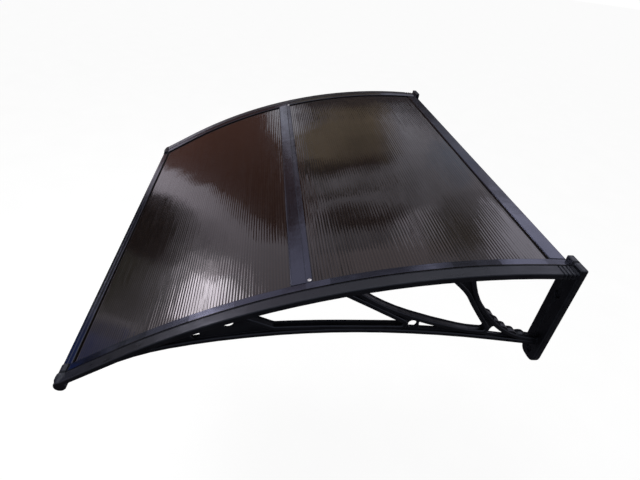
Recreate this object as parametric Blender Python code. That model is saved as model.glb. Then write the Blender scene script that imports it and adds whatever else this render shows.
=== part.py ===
"""Door canopy: two moulded wall brackets carry a curved twin-wall roof held in aluminium bars.

X runs along the wall, -Y out from it and Z up, in metres. The wall is the plane Y = 0,
and Z = 0 is the crown of the roof's arc, where it meets the wall. A place on the arc is
given by its run, measured along the arc from the wall, and its depth below the arc.
"""
import math

import bmesh
import bpy
from mathutils import Vector

# Overall sizes
WIDTH = 1.200                 # over the outer faces of both brackets
REACH = 0.9934                # wall to the line that noses and front bar are set out from
ARC_RADIUS = 1.6577
BEND_LENGTH = 0.940           # run at which the arc ends and the roof goes on straight
CLEAR = 0.0003                # gap left between pieces that touch

# Cover lips, seals and sheet, stacked downwards from the arc
COVER_TOP = 0.0013
COVER_T = 0.0018
SEAL_T = 0.0016
SHEET_T = 0.0050
SKIN_T = 0.0006
RIB_T = 0.0005
FLUTE_PITCH = 0.0065
SHEET_PLAY = 0.0020           # room for the sheet to grow at each of its edges

# Bracket, moulded in one piece
ARCH_WIDTH = 0.0510
RIM_WIDTH = 0.0283            # outer rim, from the side face to the groove
RIM_EDGE_AT_WALL = 0.0018     # depth of the rim's outer edge, at the wall and at the nose
RIM_EDGE_AT_NOSE = -0.0028
RIM_FOOT_AT_WALL = 0.0124     # depth of the foot of its side face
RIM_FOOT_AT_NOSE = 0.0058
RIM_SOFT = 0.0016             # rounding of the outer edge
ARCH_DEPTH = 0.0145
SEAT_WIDTH = 0.0150           # ledge that the sheet's edge lies on
PLATE_WIDTH = 0.0540
PLATE_T = 0.0130
PLATE_HEAD = 0.0090           # how far the plate rises above the arc
PLATE_FOOT = 0.2480           # and how far it reaches below
PLATE_ROUND = 0.0200
PLATE_SOFT = 0.0024           # softened edges
BAR_WIDTH = 0.0200            # the open work's bars, across X
BAR_T = 0.0100
BAR_EDGE = 0.0018
WEB_T = 0.0050                # thin web between the bars
WEB_TOP = 0.0050              # depth at which the web ends inside the arch
WEB_START = 0.0022            # run at which it starts, inside the plate
WINDOW_TOP = 0.0130           # depth of the windows' upper edge
SHARPEST = 0.3                # least share by which a sharp corner is shortened
REED_COUNT = 4
REED_START = 0.0160           # run of the first groove
REED_PITCH = 0.0085
REED_GROOVE = 0.0042
REED_DEPTH = 0.0024
SCALLOP_COUNT = 5
SCALLOP_RISE = 0.0042
SCALLOP_ROOT = 0.0040         # how far a scallop's foot goes into the bar
SCALLOP_STEPS = 6
NOSE_RADIUS = 0.0125
NOSE_BACK = 0.0030            # nose's axis, back from the line and down from the arc
NOSE_DEPTH = 0.00725
NOSE_CREASE = 0.0092          # from that axis back to where the edge strip ends
NOSE_SIDES = 20
NOSE_SOFT = 0.0030            # softened ends
COLLAR_WIDTH = 0.0170         # band where the lower bar wraps round the nose
COLLAR_RADIUS = 0.0138
COLLAR_INSET = 0.0205         # from the outer face to the band's middle
COLLAR_AHEAD = 0.0020         # the band's axis, ahead of the nose's

# Wall fixing holes
BOLT_RADIUS = 0.0045
BOLT_SINK_RADIUS = 0.0090
BOLT_SINK_DEPTH = 0.0040
BOLT_DROPS = (0.070, 0.226)

# Aluminium bars along X
REAR_BACK = 0.0102            # wall to the rear bar
REAR_COVER = 0.0352           # visible width of the rear bar
REAR_BOX_WIDTH = 0.0165
REAR_BOX_FOOT = 0.0200
JOINT_RUN = 0.5411            # middle of the joint bar, along the arc
JOINT_COVER = 0.0432
JOINT_SHOULDER = 0.0121       # lower step of the joint bar, on its wall side
JOINT_LOW = 0.0017            # depths of the step, of the cover and of the ridge on its front edge
JOINT_HIGH = 0.0007
JOINT_BEAD_TOP = 0.0001
JOINT_BEAD = 0.0026
JOINT_FOOT = 0.0400
FRONT_AHEAD = 0.0045          # centre of the front bar's round edge, ahead of the line
FRONT_DEPTH = 0.0078
FRONT_COVER = 0.0205
FRONT_STEP = 0.0090
FRONT_ROUND = 0.0072
FRONT_WEB_BACK = 0.0045       # from that centre back to the wall that closes the channel
FRONT_WEB_T = 0.0014
BAR_SOFT = 0.0007             # softened edges of the bars
LEDGE_BACK = 0.0030           # a bar's lower lip ends this far behind its cover
SEAL_WIDTH = 0.0045
SEAL_BACK = 0.0005            # from the edge of a cover to the seal under it
SIDE_SEAL_INSET = 0.0005      # from the bracket's inner face to the side seal
SIDE_SEAL_WIDTH = 0.0130
STRIP_EDGE = 0.0011           # softened outer edge of the edge strip
LEG_T = 0.0028                # snap leg under the edge strip
LEG_DEPTH = 0.0061
SPIGOT_LENGTH = 0.0240
FRONT_PIN_RADIUS = 0.0042
LUG_LENGTH = 0.0220
LUG_T = 0.0055

# Screws
SCREW_HOLE_PLAY = 0.0003
JOINT_SCREW = dict(head=0.0045, rise=0.0028, shank=0.0020)
REAR_SCREW = dict(head=0.0038, rise=0.0024, shank=0.0018)
FRONT_SCREW = dict(head=0.0032, rise=0.0020, shank=0.0015)
JOINT_SCREW_INSET = 0.0048    # from the bar's end
JOINT_SCREW_EDGE = 0.0055     # from the joint bar's wall-side edge
JOINT_SEAL_INSET = 0.0100     # the rear joint seal stops short of the screws
END_SCREW_INSET = 0.0120
REAR_SCREW_TIP = 0.0100       # depth of the rear bar screws' tips

# Joining and cutting
BITE = 0.0050                 # how far joined solids reach into each other
OVERCUT = 0.0040              # how far cutters reach past what they cut
WELD = 0.000005               # points closer than this become one

# Facets
CHORD = 0.00040               # how far an arc may stand off its chord
ARC_STATIONS = 22
WEB_STATIONS = 14
FLAT_ANGLE = math.radians(0.5)
SHARP_ANGLE = math.radians(30)
ROUND_SIDES = 16
SCREW_SIDES = 10
SHEET_FACET = 3               # flutes to each flat strip of a sheet's skin

# Sizes that follow from those above
SEAL_TOP = COVER_TOP + COVER_T + CLEAR
SHEET_TOP = SEAL_TOP + SEAL_T + CLEAR
SHEET_FOOT = SHEET_TOP + SHEET_T
SEAT = SHEET_FOOT + CLEAR
SIDE = WIDTH / 2
INNER = SIDE - ARCH_WIDTH
GROOVE = SIDE - RIM_WIDTH
WEB_X = SIDE - ARCH_WIDTH / 2 + 0.0005
BAR_END = INNER - CLEAR
SEAT_WALL = INNER + SEAT_WIDTH
SLOT_IN = (SEAT_WALL + GROOVE) / 2 - LEG_T / 2
SLOT_OUT = SLOT_IN + LEG_T
SHEET_SIDE = SEAT_WALL - SHEET_PLAY / 2
BEND_ANGLE = BEND_LENGTH / ARC_RADIUS
TAIL_REACH = REACH - (ARC_RADIUS - NOSE_DEPTH) * math.sin(BEND_ANGLE)
END_RUN = BEND_LENGTH + TAIL_REACH / math.cos(BEND_ANGLE)
NOSE_RUN = END_RUN - NOSE_BACK
REAR_END = SIDE - ARCH_WIDTH / 2 - PLATE_WIDTH / 2 - CLEAR
REAR_BOX = REAR_BACK + REAR_BOX_WIDTH
REAR_EDGE = REAR_BACK + REAR_COVER
JOINT_HALF = 0.0009
FRONT_RUN = END_RUN + FRONT_AHEAD
FRONT_WEB = FRONT_RUN - FRONT_WEB_BACK
FRONT_STOP = FRONT_WEB - FRONT_WEB_T
FRONT_EDGE = FRONT_RUN - FRONT_COVER
STRIP_START = PLATE_T - 0.0010
STRIP_STOP = NOSE_RUN - NOSE_CREASE
BOX_HOLLOW = (REAR_BACK + COVER_T, REAR_BOX - COVER_T, SEAL_TOP - CLEAR, REAR_BOX_FOOT - COVER_T)
FRONT_HOLLOW = FRONT_PIN_RADIUS + CLEAR

# Open work of the bracket. A corner is (out, drop, radius): out is its share of the way from
# the plate to the nose, drop its depth under the arc as a share of the plate's foot, and the
# radius rounds it. None rounds it as far as its neighbours allow. UNDER lies on the arch.
UNDER = "under the arch"
LOWER_EDGE = (
    (-0.011, 0.836, None), (0.201, 0.688, None), (0.380, 0.537, None), (0.538, 0.391, None),
    (0.711, 0.227, None), (0.854, 0.087, None), (0.995, 0.070, None),
)
FRONT_WINDOW = (
    (0.643, UNDER, 0.004), (0.558, UNDER, None), (0.462, UNDER, 0.010), (0.415, 0.197, None),
    (0.302, 0.528, 0.004), (0.395, 0.450, None), (0.517, 0.330, None), (0.577, 0.268, 0.015),
)
MIDDLE_WINDOW = (
    (0.427, UNDER, 0.005), (0.342, UNDER, None), (0.252, UNDER, 0.010), (0.203, 0.235, None),
    (0.174, 0.415, None), (0.127, 0.655, 0.004), (0.169, 0.631, None), (0.252, 0.510, None),
    (0.334, 0.346, None), (0.385, 0.204, None),
)
REAR_WINDOW = (
    (0.199, UNDER, 0.006), (0.100, UNDER, None), (-0.003, UNDER, 0.002), (-0.003, 0.758, 0.002),
    (0.050, 0.725, None), (0.093, 0.632, None), (0.140, 0.460, None), (0.177, 0.264, None),
)
SCALLOP_FIRST = (0.023, 0.742)
SCALLOP_LAST = (0.146, 0.442)
ROUND_HOLES = ((0.732, 0.131, 0.0100), (0.669, 0.112, 0.0125), (0.292, 0.531, 0.0095))
WEB_HOLES = (
    ((0.279, 0.503, 0.003), (0.226, 0.612, 0.002), (0.276, 0.587, 0.003)),
    ((0.112, 0.623, 0.003), (0.122, 0.701, 0.003), (0.072, 0.733, 0.003)),
)

# Colours
BLACK_PLASTIC = ("black plastic", (0.012, 0.012, 0.014), 0.42, 0.0)
DARK_ALUMINIUM = ("dark aluminium", (0.055, 0.060, 0.085), 0.36, 0.7)
TINTED_SHEET = ("tinted sheet", (0.060, 0.045, 0.038), 0.18, 0.0)
BLACK_RUBBER = ("black rubber", (0.010, 0.010, 0.010), 0.80, 0.0)
BRIGHT_STEEL = ("bright steel", (0.620, 0.620, 0.640), 0.28, 1.0)


def arc_height(y):
    """Height of the arc's surface at a distance y from the wall."""
    return math.sqrt(ARC_RADIUS ** 2 - y ** 2) - ARC_RADIUS


def on_arc(run, depth):
    """Y and Z of a point given by its run along the arc, or its straight end, and its depth."""
    angle = min(run, BEND_LENGTH) / ARC_RADIUS
    tail = max(run - BEND_LENGTH, 0.0)
    radius = ARC_RADIUS - depth
    y = -radius * math.sin(angle) - tail * math.cos(angle)
    z = radius * math.cos(angle) - tail * math.sin(angle) - ARC_RADIUS
    return y, z


def arc_point(x, run, depth):
    """The same point in space."""
    y, z = on_arc(run, depth)
    return Vector((x, y, z))


def spread(first, last, steps):
    """Evenly spaced values from first to last."""
    return [first + (last - first) * step / steps for step in range(steps + 1)]


def new_material(finish):
    """The Principled material of a finish, made once."""
    name, colour, roughness, metallic = finish
    material = bpy.data.materials.get(name)
    if material is None:
        material = bpy.data.materials.new(name)
        material.use_nodes = True
        shader = material.node_tree.nodes["Principled BSDF"]
        shader.inputs["Base Color"].default_value = (*colour, 1.0)
        shader.inputs["Roughness"].default_value = roughness
        shader.inputs["Metallic"].default_value = metallic
    return material


def finish_mesh(name, bm, finish=None):
    """Turn the faces outwards, shade the mesh and put it in the scene."""
    bmesh.ops.remove_doubles(bm, verts=bm.verts, dist=WELD / 5)
    bmesh.ops.recalc_face_normals(bm, faces=bm.faces)
    mesh = bpy.data.meshes.new(name)
    bm.to_mesh(mesh)
    bm.free()
    piece = bpy.data.objects.new(name, mesh)
    bpy.context.scene.collection.objects.link(piece)
    if finish is not None:
        mesh.materials.append(new_material(finish))
        shade(piece)
    return piece


def shade(piece):
    """Smooth the curved faces and keep the edges sharp."""
    piece.data.shade_smooth()
    piece.data.set_sharp_from_angle(angle=SHARP_ANGLE)


def rounded(corners, closed=True):
    """Points of an outline of corners (a, b, radius), with an arc in place of each corner."""
    points = []
    for index, (a, b, radius) in enumerate(corners):
        here = Vector((a, b))
        if not closed and index in (0, len(corners) - 1):
            points.append(here)
            continue
        back = Vector(corners[index - 1][:2]) - here
        ahead = Vector(corners[(index + 1) % len(corners)][:2]) - here
        half = back.angle(ahead) / 2
        reach = min(back.length, ahead.length) / 2
        if radius is not None:
            reach = min(reach, radius / math.tan(half))
        radius = reach * math.tan(half)
        if radius < CHORD:
            points.append(here)
            continue
        bend = math.pi - 2 * half
        steps = max(1, math.ceil(bend / (2 * math.acos(1 - CHORD / radius))))
        turn = bend if back.x * ahead.y - back.y * ahead.x < 0 else -bend
        inwards = (back.normalized() + ahead.normalized()).normalized()
        centre = here + inwards * radius / math.sin(half)
        arm = here + back.normalized() * reach - centre
        for angle in spread(0.0, turn, steps):
            points.append(centre + Vector((
                arm.x * math.cos(angle) - arm.y * math.sin(angle),
                arm.x * math.sin(angle) + arm.y * math.cos(angle),
            )))
    return [p for i, p in enumerate(points) if (p - points[i - 1]).length > WELD / 2]


def circle(a, b, radius, sides=ROUND_SIDES):
    """Points of a round outline."""
    angles = [math.tau * side / sides for side in range(sides)]
    return [Vector((a + radius * math.cos(t), b + radius * math.sin(t))) for t in angles]


def offset(path, distance, closed):
    """The path moved sideways by a distance, to the left of its direction, corners kept short."""
    moved = []
    for index, here in enumerate(path):
        before = path[index - 1] if closed or index > 0 else None
        after = path[(index + 1) % len(path)] if closed or index < len(path) - 1 else None
        ways = []
        if before is not None:
            ways.append((here - before).normalized())
        if after is not None:
            ways.append((after - here).normalized())
        sides = [Vector((-way.y, way.x)) for way in ways]
        side = sum(sides, Vector((0.0, 0.0))).normalized()
        moved.append(here + side * distance / max(side.dot(sides[0]), SHARPEST))
    return moved


def loft(name, stations, finish=None, ring=False):
    """A solid through stations of matching points, closed by end faces unless it is a ring."""
    bm = bmesh.new()
    rows = [[bm.verts.new(point) for point in station] for station in stations]
    count = len(rows[0])
    pairs = list(zip(rows, rows[1:]))
    if ring:
        pairs.append((rows[-1], rows[0]))
    for row, following in pairs:
        for index in range(count):
            after = (index + 1) % count
            bm.faces.new((row[index], row[after], following[after], following[index]))
    if not ring:
        bm.faces.new(rows[0])
        bm.faces.new(rows[-1])
    return finish_mesh(name, bm, finish)


def prism(name, outline, place, push, finish=None, holes=()):
    """A flat outline with holes, placed in space and pushed along a vector."""
    bm = bmesh.new()
    edges = []
    for loop in (outline, *holes):
        verts = [bm.verts.new(place(point[0], point[1])) for point in loop]
        edges += [bm.edges.new((verts[i - 1], verts[i])) for i in range(len(verts))]
    bmesh.ops.triangle_fill(bm, use_beauty=True, edges=edges)
    grown = bmesh.ops.extrude_face_region(bm, geom=bm.faces[:])
    moved = [item for item in grown["geom"] if isinstance(item, bmesh.types.BMVert)]
    bmesh.ops.translate(bm, verts=moved, vec=push)
    return finish_mesh(name, bm, finish)


def swept(name, section, start, stop, finish=None, stations=ARC_STATIONS):
    """A section of (x, depth) points swept along the arc from one run to another."""
    runs = spread(start, stop, stations)
    rows = [[arc_point(x, run, depth) for x, depth in section] for run in runs]
    return loft(name, rows, finish)


def bar(name, outline, half_length, finish=None, holes=()):
    """A straight bar along X, its outline given in run and depth."""
    return prism(
        name, outline, lambda run, depth: arc_point(-half_length, run, depth),
        Vector((2 * half_length, 0.0, 0.0)), finish, holes,
    )


def cylinder(name, start, end, radius, sides=ROUND_SIDES):
    """A round bar between two points."""
    along = (end - start).normalized()
    across = along.orthogonal().normalized()
    other = along.cross(across)
    rows = [
        [point + (across * spot.x + other * spot.y) for spot in circle(0.0, 0.0, radius, sides)]
        for point in (start, end)
    ]
    return loft(name, rows)


def combine(base, others, operation):
    """Join the other solids to the base, or cut them from it, and remove them."""
    group = bpy.data.collections.new("operands")
    for other in others:
        group.objects.link(other)
    step = base.modifiers.new("combine", "BOOLEAN")
    step.operation = operation
    step.solver = "EXACT"
    step.operand_type = "COLLECTION"
    step.collection = group
    shaped = base.evaluated_get(bpy.context.evaluated_depsgraph_get())
    mesh = bpy.data.meshes.new_from_object(shaped)
    base.modifiers.clear()
    base.data = mesh
    for other in others:
        bpy.data.objects.remove(other)
    bpy.data.collections.remove(group)
    clean(base)


def clean(piece):
    """Weld points that a cut left on top of each other and shade the piece again."""
    bm = bmesh.new()
    bm.from_mesh(piece.data)
    bmesh.ops.remove_doubles(bm, verts=bm.verts, dist=WELD)
    bmesh.ops.dissolve_degenerate(bm, edges=bm.edges, dist=WELD)
    bmesh.ops.dissolve_limit(bm, angle_limit=FLAT_ANGLE, verts=bm.verts, edges=bm.edges)
    bmesh.ops.triangulate(bm, faces=[face for face in bm.faces if len(face.verts) > 4])
    bm.to_mesh(piece.data)
    bm.free()
    shade(piece)


def mirrored(piece, name):
    """The left-hand copy of a right-hand piece."""
    bm = bmesh.new()
    bm.from_mesh(piece.data)
    for vert in bm.verts:
        vert.co.x = -vert.co.x
    bmesh.ops.reverse_faces(bm, faces=bm.faces)
    mesh = bpy.data.meshes.new(name)
    bm.to_mesh(mesh)
    bm.free()
    for material in piece.data.materials:
        mesh.materials.append(material)
    copy = bpy.data.objects.new(name, mesh)
    bpy.context.scene.collection.objects.link(copy)
    shade(copy)
    return copy


def web_place(out, drop):
    """Y and Z of a point of the open work, from its shares of reach and foot."""
    y = PLATE_T + out * (REACH - PLATE_T)
    if drop == UNDER:
        slope = y / math.sqrt(ARC_RADIUS ** 2 - y ** 2)
        below = WINDOW_TOP * math.sqrt(1 + slope ** 2)
    else:
        below = drop * PLATE_FOOT
    return -y, arc_height(y) - below


def web_outline(corners, closed=True):
    """The rounded outline of an opening or edge of the open work, running anticlockwise."""
    path = rounded([(*web_place(out, drop), radius) for out, drop, radius in corners], closed)
    area = sum(path[i - 1].x * path[i].y - path[i].x * path[i - 1].y for i in range(len(path)))
    return path[::-1] if closed and area < 0 else path


def ribbon(name, path, closed, away):
    """A bar of the open work along a path, chamfered; away is 1 for its left side, -1 for its right."""
    half = BAR_WIDTH / 2
    edge = BAR_EDGE
    section = (
        (0.0, -half + edge), (0.0, half - edge), (edge, half), (BAR_T - edge, half),
        (BAR_T, half - edge), (BAR_T, -half + edge), (BAR_T - edge, -half), (edge, -half),
    )
    lines = [offset(path, away * aside, closed) for aside, _ in section]
    rows = [
        [Vector((WEB_X + section[k][1], lines[k][i].x, lines[k][i].y)) for k in range(len(section))]
        for i in range(len(path))
    ]
    return loft(name, rows, ring=closed)


def web_prism(name, outline, width, holes=()):
    """A flat piece of the open work, centred on the web."""
    return prism(
        name, outline, lambda y, z: Vector((WEB_X - width / 2, y, z)),
        Vector((width, 0.0, 0.0)), None, holes,
    )


def arch_blank():
    """The arch before its seats are cut, with reeds across its outer rim beside the wall."""
    plain_start = REED_START + REED_COUNT * REED_PITCH
    runs = [(PLATE_T / 2, 0.0)]
    for reed in range(REED_COUNT):
        first = REED_START + reed * REED_PITCH
        last = first + REED_GROOVE
        slope = REED_GROOVE / 4
        runs += [(first, 0.0), (first + slope, REED_DEPTH), (last - slope, REED_DEPTH), (last, 0.0)]
    runs += [(run, 0.0) for run in spread(plain_start, NOSE_RUN, ARC_STATIONS)]
    stations = []
    for run, sink in runs:
        share = run / NOSE_RUN
        edge = RIM_EDGE_AT_WALL + (RIM_EDGE_AT_NOSE - RIM_EDGE_AT_WALL) * share + sink
        foot = RIM_FOOT_AT_WALL + (RIM_FOOT_AT_NOSE - RIM_FOOT_AT_WALL) * share ** 2
        face = SIDE - sink
        section = (
            (INNER, 0.0), (GROOVE, 0.0), (GROOVE + RIM_SOFT, sink),
            (face - RIM_SOFT, edge - RIM_SOFT / 2), (face, edge + RIM_SOFT / 2), (face, foot),
            (WEB_X + BAR_WIDTH / 2, ARCH_DEPTH), (INNER, ARCH_DEPTH),
        )
        stations.append([arc_point(x, run, depth) for x, depth in section])
    return loft("bracket_right", stations, BLACK_PLASTIC)


def wall_plate():
    """The upright plate on the wall, with a rounded foot and softened front edges."""
    middle = SIDE - ARCH_WIDTH / 2
    left = middle - PLATE_WIDTH / 2
    right = middle + PLATE_WIDTH / 2
    outline = rounded((
        (left, PLATE_HEAD, PLATE_SOFT), (left, -PLATE_FOOT, PLATE_ROUND),
        (right, -PLATE_FOOT, PLATE_ROUND), (right, PLATE_HEAD, PLATE_SOFT),
    ))
    inner = offset(outline, PLATE_SOFT, True)
    rows = [
        [Vector((p.x, 0.0, p.y)) for p in outline],
        [Vector((p.x, PLATE_SOFT - PLATE_T, p.y)) for p in outline],
        [Vector((p.x, -PLATE_T, p.y)) for p in inner],
    ]
    return loft("plate", rows)


def turned(name, profile, run, depth):
    """A solid of (x, radius) points turned about a line along X."""
    y, z = on_arc(run, depth)
    rows = [
        [Vector((x, y + spot.x, z + spot.y)) for spot in circle(0.0, 0.0, radius, NOSE_SIDES)]
        for x, radius in profile
    ]
    return loft(name, rows)


def nose():
    """The round nose that ends the arch, and the band of the lower bar round it."""
    soft = NOSE_SOFT
    roll = turned("nose", (
        (INNER, NOSE_RADIUS - soft / 2), (INNER + soft / 2, NOSE_RADIUS),
        (SIDE - soft, NOSE_RADIUS), (SIDE - soft / 4, NOSE_RADIUS - soft / 3),
        (SIDE, NOSE_RADIUS - soft),
    ), NOSE_RUN, NOSE_DEPTH)
    half = COLLAR_WIDTH / 2
    middle = SIDE - COLLAR_INSET
    collar = turned("collar", (
        (middle - half, COLLAR_RADIUS - soft / 2),
        (middle - half * 0.7, COLLAR_RADIUS - soft / 8), (middle, COLLAR_RADIUS),
        (middle + half * 0.7, COLLAR_RADIUS - soft / 8), (middle + half, COLLAR_RADIUS - soft / 2),
    ), NOSE_RUN + COLLAR_AHEAD, NOSE_DEPTH)
    return [roll, collar]


def thin_web(windows):
    """The web between the bars, with its windows and small holes."""
    lower = offset(web_outline(LOWER_EDGE, False), -BAR_T / 2, False)
    top = [Vector(on_arc(run, WEB_TOP)) for run in spread(NOSE_RUN - WEB_TOP, WEB_START, WEB_STATIONS)]
    holes = [offset(window, -BAR_T / 2, True) for window in windows]
    holes += [circle(*web_place(out, drop), radius) for out, drop, radius in ROUND_HOLES]
    holes += [web_outline(corners) for corners in WEB_HOLES]
    return web_prism("web", [*lower, *top], WEB_T, holes)


def scallops():
    """Bumps along the rear brace, each a slice of a round bar on the bar below."""
    first = Vector(web_place(*SCALLOP_FIRST))
    last = Vector(web_place(*SCALLOP_LAST))
    window = web_outline(REAR_WINDOW)
    start = min(range(len(window)), key=lambda i: (window[i] - first).length)
    stop = min(range(len(window)), key=lambda i: (window[i] - last).length)
    step = 1 if web_distance(window, start, stop, 1) < web_distance(window, start, stop, -1) else -1
    path = walk(window, start, stop, step)
    feet = even_points(path, SCALLOP_COUNT)
    bumps = []
    for index, (foot, following) in enumerate(zip(feet, feet[1:])):
        chord = following - foot
        away = Vector((-chord.y, chord.x)).normalized()
        if away.y < 0:
            away = -away
        top = [
            foot + chord * t + away * SCALLOP_RISE * math.sin(math.pi * t)
            for t in spread(0.0, 1.0, SCALLOP_STEPS)
        ]
        root = [following - away * SCALLOP_ROOT, foot - away * SCALLOP_ROOT]
        bumps.append(web_prism(f"scallop {index}", [*top, *root], BAR_WIDTH - 2 * BAR_EDGE))
    return bumps


def walk(points, start, stop, step):
    """The points of a closed outline from one index to another."""
    path = [points[start]]
    index = start
    while index != stop:
        index = (index + step) % len(points)
        path.append(points[index])
    return path


def web_distance(points, start, stop, step):
    """How far it is along a closed outline from one point to another."""
    path = walk(points, start, stop, step)
    return sum((b - a).length for a, b in zip(path, path[1:]))


def even_points(path, parts):
    """Points that divide a path into equal lengths."""
    total = sum((b - a).length for a, b in zip(path, path[1:]))
    found = [path[0]]
    gone = 0.0
    for a, b in zip(path, path[1:]):
        length = (b - a).length
        while len(found) < parts and gone + length > total * len(found) / parts:
            share = (total * len(found) / parts - gone) / length
            found.append(a + (b - a) * share)
        gone += length
    return [*found, path[-1]]


def rear_block():
    """The block beside the plate that closes the seat and carries the rear bar."""
    start, stop, top, foot = BOX_HOLLOW
    block = bar_block(INNER, SLOT_IN, PLATE_T / 2, REAR_BOX, SEAL_TOP, REAR_BOX_FOOT)
    spigot = bar_block(
        INNER - SPIGOT_LENGTH, INNER + BITE, start + CLEAR, stop - CLEAR, top + CLEAR, foot - CLEAR,
    )
    return [block, spigot]


def bar_block(x_from, x_to, run_from, run_to, top, foot):
    """A block between two places along X, on the arc."""
    outline = [(run_from, top), (run_to, top), (run_to, foot), (run_from, foot)]
    push = Vector((x_to - x_from, 0.0, 0.0))
    return prism("block", outline, lambda run, depth: arc_point(x_from, run, depth), push)


def joint_lug():
    """The tab inside the arch that the joint bar's foot is screwed to."""
    half = JOINT_COVER / 2
    top = SEAT + COVER_T + CLEAR
    return bar_block(
        INNER - LUG_LENGTH, INNER + BITE, JOINT_RUN - half, JOINT_RUN + half, top, top + LUG_T,
    )


def front_pin():
    """The pin that enters the front bar's hollow nose."""
    start = arc_point(INNER - SPIGOT_LENGTH, FRONT_RUN, FRONT_DEPTH)
    end = arc_point(INNER + BITE, FRONT_RUN, FRONT_DEPTH)
    return cylinder("pin", start, end, FRONT_PIN_RADIUS)


def bolt_holes():
    """Counterbored holes through the plate."""
    cutters = []
    x = SIDE - ARCH_WIDTH / 2
    for drop in BOLT_DROPS:
        back = Vector((x, OVERCUT, -drop))
        front = Vector((x, -PLATE_T - OVERCUT, -drop))
        floor = Vector((x, -PLATE_T + BOLT_SINK_DEPTH, -drop))
        cutters.append(cylinder("hole", back, front, BOLT_RADIUS))
        cutters.append(cylinder("sink", floor, front, BOLT_SINK_RADIUS))
    return cutters


def seat_cutters():
    """What is cut from the arch: the sheet's ledge, the strip's seat and the slot for its leg."""
    above = -PLATE_HEAD - OVERCUT
    inner = INNER - OVERCUT
    strip_seat = (
        (inner, above), (GROOVE, above), (GROOVE, SEAL_TOP), (SLOT_OUT + CLEAR, SEAL_TOP),
        (SLOT_OUT + CLEAR, SEAL_TOP + LEG_DEPTH), (SLOT_IN - CLEAR, SEAL_TOP + LEG_DEPTH),
        (SLOT_IN - CLEAR, SEAL_TOP), (inner, SEAL_TOP),
    )
    ledge = ((inner, 0.0), (SEAT_WALL, 0.0), (SEAT_WALL, SEAT), (inner, SEAT))
    return [
        swept("strip seat", strip_seat, STRIP_START, STRIP_STOP + CLEAR),
        swept("ledge", ledge, REAR_BOX, STRIP_STOP + CLEAR),
    ]


def bracket():
    """One moulded bracket, right-hand side."""
    body = arch_blank()
    windows = [web_outline(corners) for corners in (FRONT_WINDOW, MIDDLE_WINDOW, REAR_WINDOW)]
    lower = web_outline(LOWER_EDGE, False)
    pieces = [ribbon("window bar", window, True, -1) for window in windows]
    pieces += [ribbon("lower bar", lower, False, -1), thin_web(windows), wall_plate()]
    pieces += nose()
    pieces += scallops()
    pieces += rear_block()
    pieces += [joint_lug(), front_pin()]
    combine(body, pieces, "UNION")
    combine(body, seat_cutters(), "DIFFERENCE")
    combine(body, bolt_holes() + bracket_screw_holes(), "DIFFERENCE")
    return body


def screw_places():
    """Run, X and depths of head and tip of each kind of screw, right-hand side."""
    joint_run = JOINT_RUN - JOINT_COVER / 2 + JOINT_SCREW_EDGE
    joint_tip = SEAT + COVER_T + LUG_T * 0.8
    rear_run = (REAR_BACK + REAR_BOX) / 2
    front_head = FRONT_DEPTH + FRONT_ROUND + CLEAR
    return {
        "joint": (joint_run, BAR_END - JOINT_SCREW_INSET, JOINT_LOW, joint_tip),
        "rear_bar": (rear_run, BAR_END - END_SCREW_INSET, REAR_BOX_FOOT + CLEAR, REAR_SCREW_TIP),
        "front_bar": (FRONT_RUN, BAR_END - END_SCREW_INSET, front_head, FRONT_DEPTH),
    }


def screw_hole(kind, screw, side=1):
    """The cutter for a screw's hole, from above its head to just past its tip."""
    run, x, head, tip = screw_places()[kind]
    way = 1 if tip > head else -1
    start = arc_point(x * side, run, head - way * OVERCUT)
    end = arc_point(x * side, run, tip + way * SCREW_HOLE_PLAY)
    return cylinder("screw hole", start, end, screw["shank"] + SCREW_HOLE_PLAY)


def bracket_screw_holes():
    """Holes for the three screws that enter a bracket."""
    return [
        screw_hole("joint", JOINT_SCREW), screw_hole("rear_bar", REAR_SCREW),
        screw_hole("front_bar", FRONT_SCREW),
    ]


def screw_pair(kind, screw):
    """A pan-head screw at each end of a bar."""
    run, x, head, tip = screw_places()[kind]
    way = 1 if tip > head else -1
    seat = head - way * CLEAR
    rise = way * screw["rise"]
    profile = (
        (tip, screw["shank"]), (seat, screw["shank"]), (seat, screw["head"]),
        (head - rise * 0.5, screw["head"]), (head - rise, screw["head"] * 0.65),
    )
    axis = (arc_point(0.0, run, tip) - arc_point(0.0, run, head)).normalized()
    across = Vector((1.0, 0.0, 0.0))
    other = axis.cross(across)
    rows = []
    for depth, radius in profile:
        centre = arc_point(x, run, depth)
        ring = circle(0.0, 0.0, radius, SCREW_SIDES)
        rows.append([centre + across * spot.x + other * spot.y for spot in ring])
    right = loft(f"{kind}_screw_right", rows, BRIGHT_STEEL)
    mirrored(right, f"{kind}_screw_left")


def edge_strip():
    """The aluminium strip over the sheet's edge, with a leg that snaps into the arch."""
    outer = GROOVE - CLEAR
    foot = COVER_TOP + COVER_T
    section = (
        (INNER, COVER_TOP + BAR_SOFT), (INNER + BAR_SOFT, COVER_TOP), (outer - STRIP_EDGE, 0.0001),
        (outer, STRIP_EDGE), (outer, foot), (SLOT_OUT, foot), (SLOT_OUT, foot + LEG_DEPTH),
        (SLOT_IN, foot + LEG_DEPTH), (SLOT_IN, foot), (INNER, foot),
    )
    return swept("edge_strip_right", section, STRIP_START + CLEAR, STRIP_STOP, DARK_ALUMINIUM)


def side_seal():
    """The rubber strip between the edge strip and the sheet."""
    inner = INNER + SIDE_SEAL_INSET
    outer = inner + SIDE_SEAL_WIDTH
    section = (
        (inner, SEAL_TOP), (outer, SEAL_TOP), (outer, SEAL_TOP + SEAL_T), (inner, SEAL_TOP + SEAL_T),
    )
    return swept("side_seal_right", section, REAR_BOX + CLEAR, STRIP_STOP - CLEAR, BLACK_RUBBER)


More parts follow.
